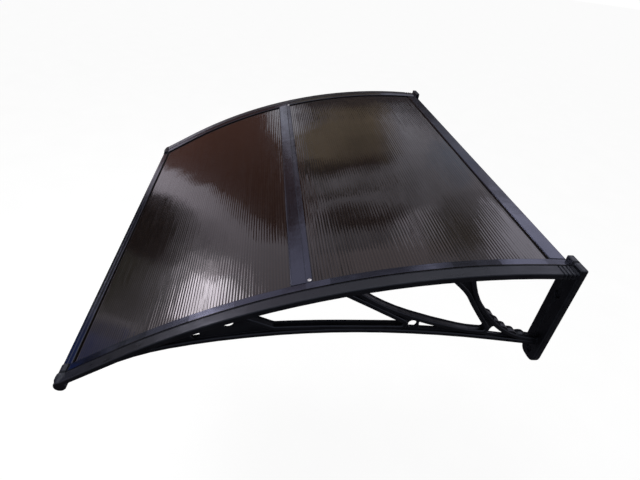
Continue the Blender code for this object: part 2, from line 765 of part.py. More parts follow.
def rear_bar():
    """The box bar along the wall, with lips above and below the sheet."""
    foot = COVER_TOP + COVER_T
    ledge = REAR_EDGE - LEDGE_BACK
    outline = rounded((
        (REAR_BACK, COVER_TOP, 0.0020), (REAR_BACK, REAR_BOX_FOOT, 0.0010),
        (REAR_BOX, REAR_BOX_FOOT, 0.0010), (REAR_BOX, SEAT + COVER_T, 0.0),
        (ledge, SEAT + COVER_T, 0.0), (ledge, SEAT, 0.0), (REAR_BOX, SEAT, 0.0),
        (REAR_BOX, foot, 0.0), (REAR_EDGE, foot, 0.0), (REAR_EDGE, COVER_TOP, 0.0010),
    ))
    start, stop, top, base = BOX_HOLLOW
    hollow = [(start, top), (stop, top), (stop, base), (start, base)]
    piece = bar("rear_bar", outline, REAR_END, DARK_ALUMINIUM, [hollow])
    cut_screw_holes(piece, "rear_bar", REAR_SCREW)
    return piece


def joint_bar():
    """The H bar between the two sheets, its cover stepped down on the wall side."""
    rear = JOINT_RUN - JOINT_COVER / 2
    front = JOINT_RUN + JOINT_COVER / 2
    step = rear + JOINT_SHOULDER
    bead = front - JOINT_BEAD
    under = COVER_TOP + COVER_T
    foot = SEAT + COVER_T
    upper = [
        (rear, under), (rear, JOINT_LOW + BAR_SOFT), (rear + BAR_SOFT, JOINT_LOW), (step, JOINT_LOW),
        (step + BAR_SOFT, JOINT_HIGH), (bead, JOINT_HIGH), (bead + BAR_SOFT, JOINT_BEAD_TOP),
        (front - BAR_SOFT, JOINT_BEAD_TOP), (front, JOINT_BEAD_TOP + BAR_SOFT), (front, under),
    ]
    right = [
        (JOINT_RUN + JOINT_HALF, under), (JOINT_RUN + JOINT_HALF, SEAT),
        (JOINT_RUN + JOINT_FOOT / 2, SEAT), (JOINT_RUN + JOINT_FOOT / 2, foot),
    ]
    left = [(2 * JOINT_RUN - run, depth) for run, depth in reversed(right)]
    piece = bar("joint_bar", [*upper, *right, *left], BAR_END, DARK_ALUMINIUM)
    cut_screw_holes(piece, "joint", JOINT_SCREW)
    return piece


def front_bar():
    """The bar along the front edge, a channel for the sheet with a hollow round nose."""
    under = COVER_TOP + COVER_T
    foot = SEAT + COVER_T
    step = FRONT_RUN - FRONT_STEP
    ledge = FRONT_EDGE + LEDGE_BACK
    edge = [
        (FRONT_RUN + FRONT_ROUND * math.cos(t), FRONT_DEPTH + FRONT_ROUND * math.sin(t))
        for t in spread(-math.pi / 2, math.pi / 2, 10)
    ]
    outline = [
        (FRONT_EDGE, under), (FRONT_EDGE, COVER_TOP + BAR_SOFT), (FRONT_EDGE + BAR_SOFT, COVER_TOP),
        (step, COVER_TOP), (step + BAR_SOFT, FRONT_DEPTH - FRONT_ROUND), *edge,
        (FRONT_WEB, FRONT_DEPTH + FRONT_ROUND), (FRONT_STOP, foot), (ledge, foot), (ledge, SEAT),
        (FRONT_STOP, SEAT), (FRONT_STOP, under),
    ]
    hollow = circle(FRONT_RUN, FRONT_DEPTH, FRONT_HOLLOW)
    piece = bar("front_bar", outline, BAR_END, DARK_ALUMINIUM, [hollow])
    cut_screw_holes(piece, "front_bar", FRONT_SCREW)
    return piece


def cut_screw_holes(piece, kind, screw):
    """Cut the holes for a pair of screws."""
    combine(piece, [screw_hole(kind, screw, side) for side in (1, -1)], "DIFFERENCE")


def sheet(name, start, stop):
    """A twin-wall sheet bent to the arc, its flutes running along X and open at both ends."""
    flutes = int((stop - start - RIB_T) / FLUTE_PITCH)
    pitch = (stop - start - RIB_T) / flutes
    facets = math.ceil(flutes / SHEET_FACET)
    top = [(run, SHEET_TOP) for run in spread(start, stop, facets)]
    base = [(run, SHEET_FOOT) for run in spread(stop, start, facets)]
    holes = []
    for flute in range(flutes):
        near = start + RIB_T + flute * pitch
        far = near + pitch - RIB_T
        holes.append([
            (near, SHEET_TOP + SKIN_T), (far, SHEET_TOP + SKIN_T),
            (far, SHEET_FOOT - SKIN_T), (near, SHEET_FOOT - SKIN_T),
        ])
    return bar(name, [*top, *base], SHEET_SIDE, TINTED_SHEET, holes)


def notch_sheet(piece, stop):
    """Cut the front sheet's corners away, where the noses stand in the line of its edge."""
    back = STRIP_STOP - SHEET_PLAY / 2
    cutters = []
    for side in (1, -1):
        inner = side * (INNER - SHEET_PLAY / 2)
        outer = side * SIDE
        ends = sorted((inner, outer))
        cutters.append(bar_block(*ends, back, stop + OVERCUT, 0.0, ARCH_DEPTH))
    combine(piece, cutters, "DIFFERENCE")


def seal(name, start, half_length=BAR_END):
    """A rubber strip along X, under the lip of a bar."""
    outline = [
        (start, SEAL_TOP), (start + SEAL_WIDTH, SEAL_TOP),
        (start + SEAL_WIDTH, SEAL_TOP + SEAL_T), (start, SEAL_TOP + SEAL_T),
    ]
    return bar(name, outline, half_length, BLACK_RUBBER)


def build():
    """Model the whole canopy."""
    for thing in list(bpy.data.objects):
        bpy.data.objects.remove(thing)
    mirrored(bracket(), "bracket_left")
    mirrored(edge_strip(), "edge_strip_left")
    mirrored(side_seal(), "side_seal_left")
    rear_bar()
    joint_bar()
    front_bar()
    rear_sheet = sheet("sheet_rear", REAR_BOX + SHEET_PLAY, JOINT_RUN - JOINT_HALF - SHEET_PLAY)
    cut_screw_holes(rear_sheet, "joint", JOINT_SCREW)
    front_stop = FRONT_STOP - SHEET_PLAY
    front_sheet = sheet("sheet_front", JOINT_RUN + JOINT_HALF + SHEET_PLAY, front_stop)
    notch_sheet(front_sheet, front_stop)
    seal("seal_rear_bar", REAR_EDGE - SEAL_BACK - SEAL_WIDTH)
    joint_rear = JOINT_RUN - JOINT_COVER / 2
    joint_front = JOINT_RUN + JOINT_COVER / 2
    seal("seal_joint_rear", joint_rear + SEAL_BACK, BAR_END - JOINT_SEAL_INSET)
    seal("seal_joint_front", joint_front - SEAL_BACK - SEAL_WIDTH)
    seal("seal_front_bar", FRONT_EDGE + SEAL_BACK)
    screw_pair("joint", JOINT_SCREW)
    screw_pair("rear_bar", REAR_SCREW)
    screw_pair("front_bar", FRONT_SCREW)


build()
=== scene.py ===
# %% [markdown]
# # A door canopy with a twin-wall roof
# Two black moulded brackets carry a curved roof of brown twin-wall sheet, held in dark
# aluminium bars and strips. The solids come ready made from the CAD frame, so this lesson is
# about looks: the finish of each material, the small screws, the light and the camera.
#
# All lengths are in metres. X runs along the wall, Y into it and Z up, and the crown of the
# roof's arc meets the wall at the origin.

# %% Start with the CAD frame
import math

import bmesh
import bpy
from mathutils import Matrix, Vector


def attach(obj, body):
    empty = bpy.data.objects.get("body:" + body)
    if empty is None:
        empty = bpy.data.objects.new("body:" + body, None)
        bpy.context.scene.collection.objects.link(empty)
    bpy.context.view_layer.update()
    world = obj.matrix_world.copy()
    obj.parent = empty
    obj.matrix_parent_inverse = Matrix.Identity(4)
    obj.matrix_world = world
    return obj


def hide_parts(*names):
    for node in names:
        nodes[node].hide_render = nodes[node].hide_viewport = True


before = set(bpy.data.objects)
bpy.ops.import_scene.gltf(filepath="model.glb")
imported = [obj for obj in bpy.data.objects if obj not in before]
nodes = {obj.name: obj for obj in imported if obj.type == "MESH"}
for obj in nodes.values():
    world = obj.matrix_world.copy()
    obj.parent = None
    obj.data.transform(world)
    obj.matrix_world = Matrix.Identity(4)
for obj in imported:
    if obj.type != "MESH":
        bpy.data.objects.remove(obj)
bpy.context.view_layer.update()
print("CAD nodes:", len(nodes))

# %% [markdown]
# ## The camera
# The camera stands beyond one end of the canopy and a little above it, and looks along the
# wall and down, so one bracket is near and the other far. It could be turned by angles, or
# made to track an empty. Here its axes are written as vectors: its right and its up are given,
# and the third is their cross product, so there is no order of turning to get wrong.

# %% Set up the camera
CAMERA_PLACE = Vector((1.218607, -0.629190, 0.457739))
CAMERA_RIGHT = Vector((0.095388, 0.987569, 0.124935))
CAMERA_UP = Vector((-0.557723, -0.050938, 0.828463))
LENS = 25.3125          # mm, on a sensor of the next width
SENSOR_WIDTH = 36.0


def new_object(name, data):
    """An object for some data, linked to the scene."""
    thing = bpy.data.objects.new(name, data)
    bpy.context.scene.collection.objects.link(thing)
    return thing


camera_data = bpy.data.cameras.new("camera")
camera_data.sensor_width = SENSOR_WIDTH
camera_data.lens = LENS
camera = new_object("camera", camera_data)
camera_back = CAMERA_RIGHT.cross(CAMERA_UP)
axes = Matrix((CAMERA_RIGHT, CAMERA_UP, camera_back)).transposed()
camera.matrix_world = Matrix.Translation(CAMERA_PLACE) @ axes.to_4x4()
bpy.context.scene.camera = camera
print("camera stands at", [round(value, 3) for value in CAMERA_PLACE])

# %% [markdown]
# ## Nodes for a finish
# A finish is a small tree of nodes that ends in a Principled shader. It could be joined by
# hand in the shader editor, but then nobody can read how it was made. A few helpers keep the
# script short: one starts a finish, one adds a node with its settings, and one joins sockets.

# %% Start a finish, add a node and join two
def new_finish(name):
    """An empty material with a Principled shader, its node tree and that shader."""
    material = bpy.data.materials.new(name)
    material.use_nodes = True
    tree = material.node_tree
    return material, tree, tree.nodes["Principled BSDF"]


def add(tree, kind, **settings):
    """Add a node and set its properties or the values of its inputs."""
    node = tree.nodes.new(kind)
    for name, value in settings.items():
        if hasattr(node, name):
            setattr(node, name, value)
        else:
            node.inputs[name.replace("_", " ")].default_value = value
    return node


def join(tree, source, output, target, socket):
    """Join an output of one node to an input of another."""
    tree.links.new(source.outputs[output], target.inputs[socket])


print("helpers for nodes:", new_finish.__name__, add.__name__, join.__name__)

# %% [markdown]
# ## Places and sums
# A texture needs a place to start from. A UV map could give it, but every piece would have to
# be unwrapped. Object coordinates are in metres here, because every CAD node sits at the
# origin with its mesh in place, so they keep a grain at its real size on every piece. Sums on
# them find out where a point lies, such as beside a groove.

# %% Do sums on values and coordinates
def combine(tree, operation, first, second=None):
    """A Math node on the first outputs of one or two nodes, or on a node and a number."""
    node = add(tree, "ShaderNodeMath", operation=operation)
    tree.links.new(first.outputs[0], node.inputs[0])
    if isinstance(second, (int, float)):
        node.inputs[1].default_value = second
    elif second is not None:
        tree.links.new(second.outputs[0], node.inputs[1])
    return node


def coordinate(tree, axis, operation, number=0.0):
    """A Math node on one coordinate of the point, and on a number where it takes one."""
    place = add(tree, "ShaderNodeTexCoord")
    parts = add(tree, "ShaderNodeSeparateXYZ")
    join(tree, place, "Object", parts, "Vector")
    node = add(tree, "ShaderNodeMath", operation=operation)
    node.inputs[1].default_value = number
    join(tree, parts, axis, node, 0)
    return node


def between(tree, source, low, high, start=0.0, end=1.0):
    """Spread a value that runs from start to end over the range from low to high."""
    node = add(tree, "ShaderNodeMapRange")
    for name, value in (("From Min", start), ("From Max", end),
                        ("To Min", low), ("To Max", high)):
        node.inputs[name].default_value = value
    tree.links.new(source.outputs[0], node.inputs["Value"])
    return node


print("helpers for sums:", combine.__name__, coordinate.__name__, between.__name__)

# %% [markdown]
# ## Grain, colour and bump
# No real surface is one flat colour. Noise gives an uneven value, a ramp turns it into a
# colour between two, and a bump node turns it into small heights. The noise could come from
# an image, but made by nodes it has no seams and no end to its detail.

# %% Make grain, colour and bump
NOISE_REACH = (0.3, 0.7)        # noise seldom leaves this part of 0 to 1
BROAD_REACH = (0.35, 0.65)      # a little tighter, for more contrast


def grain(tree, size, stretch=(1.0, 1.0, 1.0), detail=3.0):
    """Noise of a grain size in metres, drawn out along the axes with a small stretch."""
    place = add(tree, "ShaderNodeTexCoord")
    mapping = add(tree, "ShaderNodeMapping")
    mapping.inputs["Scale"].default_value = stretch
    join(tree, place, "Object", mapping, "Vector")
    noise = add(tree, "ShaderNodeTexNoise", Scale=1.0 / size, Detail=detail)
    join(tree, mapping, "Vector", noise, "Vector")
    return noise


def ramp(tree, source, reach, dark, light):
    """Turn a value into a colour between two, as it goes over its reach."""
    node = add(tree, "ShaderNodeValToRGB")
    for element, position, colour in zip(node.color_ramp.elements, reach, (dark, light)):
        element.position = position
        element.color = (*colour, 1.0)
    tree.links.new(source.outputs[0], node.inputs["Fac"])
    return node


def bump(tree, source, height, previous=None):
    """Raise the surface by a height in metres where the value is 1."""
    node = add(tree, "ShaderNodeBump", Distance=height, Strength=1.0)
    tree.links.new(source.outputs[0], node.inputs["Height"])
    if previous is not None:
        join(tree, previous, "Normal", node, "Normal")
    return node


def finish_with(tree, shader, colour, gloss, normal, **constants):
    """Join a finish's colour, gloss and surface, and set the shader's constants."""
    shown = next(socket for socket in colour.outputs
                 if socket.enabled and socket.type == "RGBA")
    tree.links.new(shown, shader.inputs["Base Color"])
    tree.links.new(gloss.outputs[0], shader.inputs["Roughness"])
    join(tree, normal, "Normal", shader, "Normal")
    for name, value in constants.items():
        shader.inputs[name.replace("_", " ")].default_value = value


print("noise is read from", NOISE_REACH, "or", BROAD_REACH)

# %% [markdown]
# ## The groove beside the edge strips
# Along each arch a strip covers the sheets' edge, and between it and the bracket's raised rim
# runs a narrow groove. On the real object it is deep and shaded, and reads as a dark line. It
# could be cut deeper into the mesh, but the solids are the part and stay as they are. So its
# shade is painted: strip and plastic both go dark and dull between two distances from the
# canopy's middle, the strip by a painted colour that is nearly black.

# %% Paint shade into the groove
GROOVE_START = 0.5683   # distance from the middle, across the canopy
GROOVE_END = 0.5742
GROOVE_FADE = 0.0006
# painted shade: the nearly black colour that stands for the groove's shade
GROOVE_PAINTED_SHADE = (0.002, 0.002, 0.0025, 1.0)
GROOVE_ROUGHNESS = 0.9
MIX_FROM, MIX_TO = 6, 7  # the two colour inputs of a Mix node


def outside_groove(tree):
    """1 away from the groove between edge strip and rim, and 0 in its shade."""
    across = coordinate(tree, "X", "ABSOLUTE")
    inner = between(tree, across, 1.0, 0.0, GROOVE_START - GROOVE_FADE, GROOVE_START)
    outer = between(tree, across, 0.0, 1.0, GROOVE_END, GROOVE_END + GROOVE_FADE)
    return combine(tree, "MAXIMUM", inner, outer)


def with_painted_shade(tree, colour, amount):
    """A colour with painted shade: it goes to nearly black as the amount goes to 0."""
    mix = add(tree, "ShaderNodeMix", data_type="RGBA")
    tree.links.new(amount.outputs[0], mix.inputs["Factor"])
    tree.links.new(colour.outputs["Color"], mix.inputs[MIX_TO])
    mix.inputs[MIX_FROM].default_value = GROOVE_PAINTED_SHADE
    return mix


print("groove is", round(1000 * (GROOVE_END - GROOVE_START), 1), "mm wide")

# %% [markdown]
# ## Black moulded plastic
# The brackets are injection moulded in a tough black plastic. The mould leaves a fine even
# texture, the plastic's flow leaves slow waves, and the gloss changes a little from place to
# place. The edges are never sharp. They could be rounded with a Bevel modifier, but that would
# change the CAD mesh, so a Bevel node rounds only how the light falls on them.

# %% Make the black plastic
BEVEL_SAMPLES = 8
PLASTIC_EDGE = 0.0016           # radius of its softened edges
PLASTIC_DARK = (0.0022, 0.0022, 0.0030)
PLASTIC_LIGHT = (0.0046, 0.0046, 0.0062)
PLASTIC_ROUGHNESS = (0.26, 0.40)
PATCH_SIZE = 0.050              # of its darker and lighter patches
TEXTURE_SIZE, TEXTURE_HEIGHT = 0.0008, 0.00002
FLOW_SIZE, FLOW_HEIGHT = 0.012, 0.00008
FLOW_STRETCH = (1.0, 0.35, 1.0)


def make_black_plastic():
    material, tree, shader = new_finish("black_moulded_plastic")
    broad = grain(tree, PATCH_SIZE)
    fine = grain(tree, TEXTURE_SIZE, detail=2.0)
    flow = grain(tree, FLOW_SIZE, FLOW_STRETCH)
    colour = ramp(tree, broad, BROAD_REACH, PLASTIC_DARK, PLASTIC_LIGHT)
    gloss = between(tree, flow, *PLASTIC_ROUGHNESS, *NOISE_REACH)
    dull = between(tree, outside_groove(tree), GROOVE_ROUGHNESS, 0.0)
    gloss = combine(tree, "MAXIMUM", gloss, dull)
    soft = add(tree, "ShaderNodeBevel", samples=BEVEL_SAMPLES, Radius=PLASTIC_EDGE)
    texture = bump(tree, fine, TEXTURE_HEIGHT, soft)
    waves = bump(tree, flow, FLOW_HEIGHT, texture)
    finish_with(tree, shader, colour, gloss, waves, IOR=1.50,
                Specular_IOR_Level=0.65, Specular_Tint=(0.72, 0.82, 1.0, 1.0))
    return material


black_plastic = make_black_plastic()
print("made", black_plastic.name, "with edges of", 1000 * PLASTIC_EDGE, "mm")

# %% [markdown]
# ## Dark aluminium
# The bars and edge strips are extruded: hot metal is pushed through a die, which draws fine
# lines along them, and they are then anodised in a dark blue grey. An anisotropic gloss would
# smear the highlights in the right way, but it shows no single lines. Noise that is drawn out
# a hundred times along the bar does. Bars run along X and strips along the arc, so one
# function makes the finish twice, with the lines drawn out one way or the other.

# %% Make the aluminium
ALUMINIUM_EDGE = 0.0012         # radius of its softened edges
ALUMINIUM_DARK = (0.053, 0.060, 0.086)
ALUMINIUM_LIGHT = (0.073, 0.081, 0.113)
ALUMINIUM_ROUGHNESS = (0.10, 0.18)
LINE_SIZE, LINE_HEIGHT = 0.0011, 0.00001
BEND_SIZE, BEND_HEIGHT = 0.110, 0.0010      # long bars are never quite flat
ALONG_WALL = (0.01, 1.0, 1.0)
ALONG_ARC = (1.0, 0.01, 0.02)


def make_aluminium(name, stretch, beside_groove=False):
    material, tree, shader = new_finish(name)
    lines = grain(tree, LINE_SIZE, stretch, 4.0)
    broad = grain(tree, BEND_SIZE)
    colour = ramp(tree, broad, BROAD_REACH, ALUMINIUM_DARK, ALUMINIUM_LIGHT)
    gloss = between(tree, lines, *ALUMINIUM_ROUGHNESS, *NOISE_REACH)
    # the strip along the arc gets the groove's painted shade in its colour
    if beside_groove:
        colour = with_painted_shade(tree, colour, outside_groove(tree))
    arris = add(tree, "ShaderNodeBevel", samples=BEVEL_SAMPLES, Radius=ALUMINIUM_EDGE)
    drawn = bump(tree, lines, LINE_HEIGHT, arris)
    soft = bump(tree, broad, BEND_HEIGHT, drawn)
    finish_with(tree, shader, colour, gloss, soft, Metallic=0.92, IOR=1.5)
    return material


bar_aluminium = make_aluminium("dark_aluminium_along_the_wall", ALONG_WALL)
strip_aluminium = make_aluminium("dark_aluminium_along_the_arc", ALONG_ARC, True)
print("made", bar_aluminium.name, "and", strip_aluminium.name)

# %% [markdown]
# ## How far along the arc
# A twin-wall sheet has two thin walls with ribs between them, and each space between two ribs
# is a flute. The flutes run along X, side by side down the roof's arc. To draw one line for
# each, the finish has to know how far along the arc a point lies. UVs could hold that, but
# the angle about the arc's centre, times its radius, gives it without unwrapping anything.

# %% Measure along the arc
ARC_RADIUS = 1.6577
FLUTE_PITCH = 0.00653


def distance_along_arc(tree):
    """The distance from the wall along the arc, from the angle about the arc's centre."""
    up = coordinate(tree, "Z", "ADD", ARC_RADIUS)
    out = coordinate(tree, "Y", "MULTIPLY", -1.0)
    angle = combine(tree, "ARCTAN2", out, up)
    return combine(tree, "MULTIPLY", angle, ARC_RADIUS)


print("flutes to a metre of roof:", round(1.0 / FLUTE_PITCH))

# %% [markdown]
# ## Brown twin-wall sheet
# The roof is polycarbonate, brown right through, so that it looks nearly black from above.
# The ribs show as fine lines, and the upper wall sinks a little between them and has streaks
# along the flutes from the die. Its skin is as glossy as glass, but slightly wavy.
#
# One shader with one surface would have to be either lined or mirror smooth. A clear coat
# solves that: the base below it holds the lines and ribs and is a little rough, and the coat
# has its own, much calmer surface that mirrors what stands round the canopy.

# %% Make the sheet
SHEET_DARK = (0.0028, 0.0016, 0.0013)
SHEET_LINE = (0.018, 0.012, 0.009)
LINE_REACH = (0.45, 1.0)        # part of a flute's wave that goes from dark to line
SHEET_ROUGHNESS = (0.12, 0.22)
STREAK_SIZE = 0.006
STREAK_STRETCH = (0.04, 1.0, 1.0)
STREAK_SHARE = 1.6              # height of the streaks against the flutes'
RIB_HEIGHT = 0.00016            # under the coat
SKIN_HEIGHT = 0.00011           # the same shape, calmer, on the coat
WAVE_SIZE = 0.200
WAVE_HEIGHT = 0.0016


def make_sheet():
    material, tree, shader = new_finish("brown_twin_wall_sheet")
    run = distance_along_arc(tree)
    turns = combine(tree, "MULTIPLY", run, math.tau / FLUTE_PITCH)
    wave = combine(tree, "COSINE", turns)
    lines = between(tree, wave, 0.0, 1.0, -1.0, 1.0)
    streaks = grain(tree, STREAK_SIZE, STREAK_STRETCH, 2.0)
    uneven = combine(tree, "ADD", lines, between(tree, streaks, 0.0, STREAK_SHARE))
    colour = ramp(tree, lines, LINE_REACH, SHEET_DARK, SHEET_LINE)
    gloss = between(tree, streaks, *SHEET_ROUGHNESS, *NOISE_REACH)
    ribs = bump(tree, uneven, RIB_HEIGHT)
    finish_with(tree, shader, colour, gloss, ribs, IOR=1.45, Specular_IOR_Level=0.10,
                Coat_Weight=0.9, Coat_Roughness=0.025, Coat_IOR=1.5)
    slow = grain(tree, WAVE_SIZE, detail=1.0)
    skin = bump(tree, uneven, SKIN_HEIGHT)
    waves = bump(tree, slow, WAVE_HEIGHT, skin)
    join(tree, waves, "Normal", shader, "Coat Normal")
    return material


brown_sheet = make_sheet()
print("made", brown_sheet.name, "with", len(brown_sheet.node_tree.nodes), "nodes")

# %% [markdown]
# ## Rubber seals
# Soft black strips lie between the sheets and the metal and keep the rain out. Only their
# edges show. Rubber is dull and has a fine dry skin, so a rough finish with a small even bump
# is enough; a fuzzy sheen would make it look like cloth.

# %% Make the rubber
RUBBER_DARK = (0.005, 0.005, 0.005)
RUBBER_LIGHT = (0.010, 0.010, 0.010)
RUBBER_ROUGHNESS = (0.60, 0.85)
RUBBER_GRAIN, RUBBER_HEIGHT = 0.0012, 0.00005


def make_rubber():
    material, tree, shader = new_finish("seal_rubber")
    fine = grain(tree, RUBBER_GRAIN)
    colour = ramp(tree, fine, NOISE_REACH, RUBBER_DARK, RUBBER_LIGHT)
    gloss = between(tree, fine, *RUBBER_ROUGHNESS, *NOISE_REACH)
    skin = bump(tree, fine, RUBBER_HEIGHT)
    finish_with(tree, shader, colour, gloss, skin, IOR=1.45)
    return material


black_rubber = make_rubber()
print("made", black_rubber.name)

# %% [markdown]
# ## Bright steel
# The screws are steel with a thin bright coat of zinc, the only light spots on the canopy. A
# full metal with a little uneven gloss catches the light as plating does. A white plastic
# would look as bright from one side, but not from the others.

# %% Make the steel
STEEL_DARK = (0.78, 0.78, 0.79)
STEEL_LIGHT = (0.90, 0.90, 0.91)
STEEL_ROUGHNESS = (0.20, 0.36)
STEEL_GRAIN, STEEL_HEIGHT = 0.0006, 0.00002


def make_steel():
    material, tree, shader = new_finish("zinc_plated_steel")
    fine = grain(tree, STEEL_GRAIN)
    colour = ramp(tree, fine, NOISE_REACH, STEEL_DARK, STEEL_LIGHT)
    gloss = between(tree, fine, *STEEL_ROUGHNESS, *NOISE_REACH)
    skin = bump(tree, fine, STEEL_HEIGHT)
    finish_with(tree, shader, colour, gloss, skin, Metallic=1.0)
    return material


bright_steel = make_steel()
print("made", bright_steel.name)

# %% [markdown]
# ## Finish every CAD node
# Each node is one piece as it leaves the factory, and is of one material. Its solid is right
# as it is, so it stays, and only its material changes. Finishes could be given by hand, node
# by node. A table is shorter and can be checked: the first row whose start fits a node's name
# gives its finish. Its last column names a slot of the record, which the script reads but does
# not use.

# %% Give each node its finish
FINISHES = (
    ("bracket", black_plastic, "black_plastic"),
    ("edge_strip", strip_aluminium, "dark_aluminium"),
    ("sheet", brown_sheet, "tinted_sheet"),
    ("seal", black_rubber, "black_rubber"),
    ("side_seal", black_rubber, "black_rubber"),
    ("rear_bar_screw", bright_steel, "bright_steel"),
    ("joint_screw", bright_steel, "bright_steel"),
    ("front_bar_screw", bright_steel, "bright_steel"),
    ("rear_bar", bar_aluminium, "dark_aluminium"),
    ("joint_bar", bar_aluminium, "dark_aluminium"),
    ("front_bar", bar_aluminium, "dark_aluminium"),
)
for name, node in nodes.items():
    start, finish, slot = next(row for row in FINISHES if name.startswith(row[0]))
    node.data.materials.clear()
    node.data.materials.append(finish)
print("finished", len(nodes), "nodes")

# %% [markdown]
# ## Where the screws are
# Six small screws hold the bars to the brackets. In the CAD model they are plain ten-sided
# stand-ins. Their places could be typed in again, but numbers that are kept twice soon
# differ. Each stand-in is made of rings of corners, so sorting its corners by their distance
# from the arc's centre gives the rings back, and with them the axis and the sizes.

# %% Read a screw's rings
CAD_SIDES = 10
SAME_CORNER = 6                 # decimals by which corners count as one


def screw_rings(node):
    """The centre and radius of each ring of the CAD screw, from the tip to the head."""
    corners = {tuple(round(value, SAME_CORNER) for value in vertex.co)
               for vertex in node.data.vertices}
    middle = Vector((0.0, 0.0, -ARC_RADIUS))
    corners = sorted((Vector(corner) for corner in corners),
                     key=lambda corner: (Vector((0.0, corner.y, corner.z)) - middle).length)
    rings = [corners[start:start + CAD_SIDES] for start in range(0, len(corners), CAD_SIDES)]
    centres = [sum(ring, Vector()) / len(ring) for ring in rings]
    radii = [max((corner - centre).length for corner in ring)
             for ring, centre in zip(rings, centres)]
    ordered = list(zip(centres, radii))
    return ordered if radii[-1] > radii[0] else ordered[::-1]


def screw_sizes(node):
    """Tip, seat and top on the axis, and the radii of shank and head."""
    # Two rings lie at the seat, at one height, so sorting mixes them. Their mean is right.
    (tip, shank), (seat_a, _), (seat_b, _), (_, head), (top, _) = screw_rings(node)
    return tip, (seat_a + seat_b) / 2, top, shank, head


for name in ("joint_screw_right", "rear_bar_screw_right", "front_bar_screw_right"):
    tip, seat, top, shank, head = screw_sizes(nodes[name])
    print(name, "in mm: shank", round(1000 * shank, 2), "head", round(1000 * head, 2),
          "rise", round(1000 * (top - seat).length, 2),
          "length", round(1000 * (top - tip).length, 1))

# %% [markdown]
# ## Turned screws
# A pan head has a low wall, a rounded shoulder and a nearly flat top. It could be a squashed
# sphere on a cylinder, but a profile turned about the axis gives the true section in one
# closed mesh. The profile holds shares of the head's rise and radius, so it fits every size.

# %% Turn a profile
TURNED_SIDES = 40
PAN_PROFILE = ((0.00, 1.00), (0.14, 1.00), (0.40, 0.97), (0.62, 0.90), (0.80, 0.77),
               (0.92, 0.58), (0.99, 0.32))    # share of the rise, share of the radius
TIP_SHARE = 0.72                # radius of the tip, as a share of the shank's
TIP_LENGTH = 0.8                # length of its cone, in shank radii


def turn_profile(profile):
    """A closed bmesh round the Z axis, from pairs of height and radius."""
    bm = bmesh.new()
    turns = [math.tau * side / TURNED_SIDES for side in range(TURNED_SIDES)]
    rings = [[bm.verts.new((radius * math.cos(turn), radius * math.sin(turn), height))
              for turn in turns] for height, radius in profile]
    for lower, upper in zip(rings, rings[1:]):
        for side in range(TURNED_SIDES):
            ahead = (side + 1) % TURNED_SIDES
            face = bm.faces.new((lower[side], lower[ahead], upper[ahead], upper[side]))
            face.smooth = True
    bm.faces.new(reversed(rings[0]))
    bm.faces.new(rings[-1])
    return bm


def mesh_object(name, bm):
    """A linked object made from a bmesh, which is freed."""
    mesh = bpy.data.meshes.new(name)
    bm.to_mesh(mesh)
    bm.free()
    return new_object(name, mesh)


print("a pan head is turned from", len(PAN_PROFILE), "points on", TURNED_SIDES, "sides")

# %% [markdown]
# ## The cross recess
# The driver's cross is stamped into the head, and narrows downwards so that the tool centres
# itself. It could be painted on as a dark cross, but in low light a real recess has a lit
# side and a dark side. So a cross that is wide above and narrow below is cut out by a
# Boolean, and the modifier's result is kept as the screw's mesh.

# %% Cut the cross recess
CROSS_REACH = 0.52              # of the head's radius
CROSS_WIDTH = 0.13
CROSS_DEPTH = 0.62              # of the head's rise
CROSS_FOOT = 0.55               # size of the cutter's foot, and of its top above the head
CROSS_TOP = 1.3


def cross_cutter(radius, top, rise):
    """A cross that narrows downwards from above the head."""
    reach, width = CROSS_REACH * radius, CROSS_WIDTH * radius
    outline = []
    for quarter in range(4):
        turn = Matrix.Rotation(quarter * math.pi / 2, 3, "Z")
        outline += [turn @ Vector(corner) for corner in
                    ((width, -width, 0), (reach, -width, 0), (reach, width, 0))]
    bm = bmesh.new()
    levels = ((top - CROSS_DEPTH * rise, CROSS_FOOT), (top + rise, CROSS_TOP))
    foot, mouth = [[bm.verts.new((corner.x * share, corner.y * share, height))
                    for corner in outline] for height, share in levels]
    for side in range(len(outline)):
        ahead = (side + 1) % len(outline)
        bm.faces.new((foot[side], foot[ahead], mouth[ahead], mouth[side]))
    bm.faces.new(reversed(foot))
    bm.faces.new(mouth)
    return mesh_object("cross_cutter", bm)


def cut(thing, cutter):
    """Take the cutter out of a thing and keep only the result."""
    modifier = thing.modifiers.new("cut", "BOOLEAN")
    modifier.operation, modifier.solver, modifier.object = "DIFFERENCE", "EXACT", cutter
    result = thing.evaluated_get(bpy.context.evaluated_depsgraph_get())
    old, thing.data = thing.data, bpy.data.meshes.new_from_object(result)
    thing.modifiers.clear()
    bpy.data.meshes.remove(old)
    bpy.data.objects.remove(cutter)


print("the recess reaches", CROSS_REACH, "of the radius and", CROSS_DEPTH, "of the rise")

# %% [markdown]
# ## Put the screws in place
# The screws stand square to the roof, so they lean with it. They could be built along that
# slant, but every sum would then have to carry it. Instead each is turned and cut upright at
# the origin, and its mesh is then moved onto the axis of the stand-in that it replaces. It
# rides on the same body as the stand-in did.

# %% Make the six screws
def pan_head_screw(name):
    """A turned screw on the axis of the CAD screw of this name."""
    tip, seat, top, shank, head = screw_sizes(nodes[name])
    way = (top - tip).normalized()
    depth, rise = (seat - tip).length, (top - seat).length
    profile = [(0.0, TIP_SHARE * shank), (TIP_LENGTH * shank, shank), (depth, shank)]
    profile += [(depth + rise * up, head * out) for up, out in PAN_PROFILE]
    screw = mesh_object("pan_head_" + name, turn_profile(profile))
    cut(screw, cross_cutter(head, depth + rise, rise))
    place = Matrix.Translation(tip) @ way.to_track_quat("Z", "X").to_matrix().to_4x4()
    screw.data.transform(place)
    screw.data.materials.clear()
    screw.data.materials.append(bright_steel)
    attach(screw, "root")
    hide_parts(name)
    return screw


screws = [pan_head_screw(name) for name in sorted(nodes) if "screw" in name]
print("made", len(screws), "screws of", [len(screw.data.polygons) for screw in screws],
      "faces")

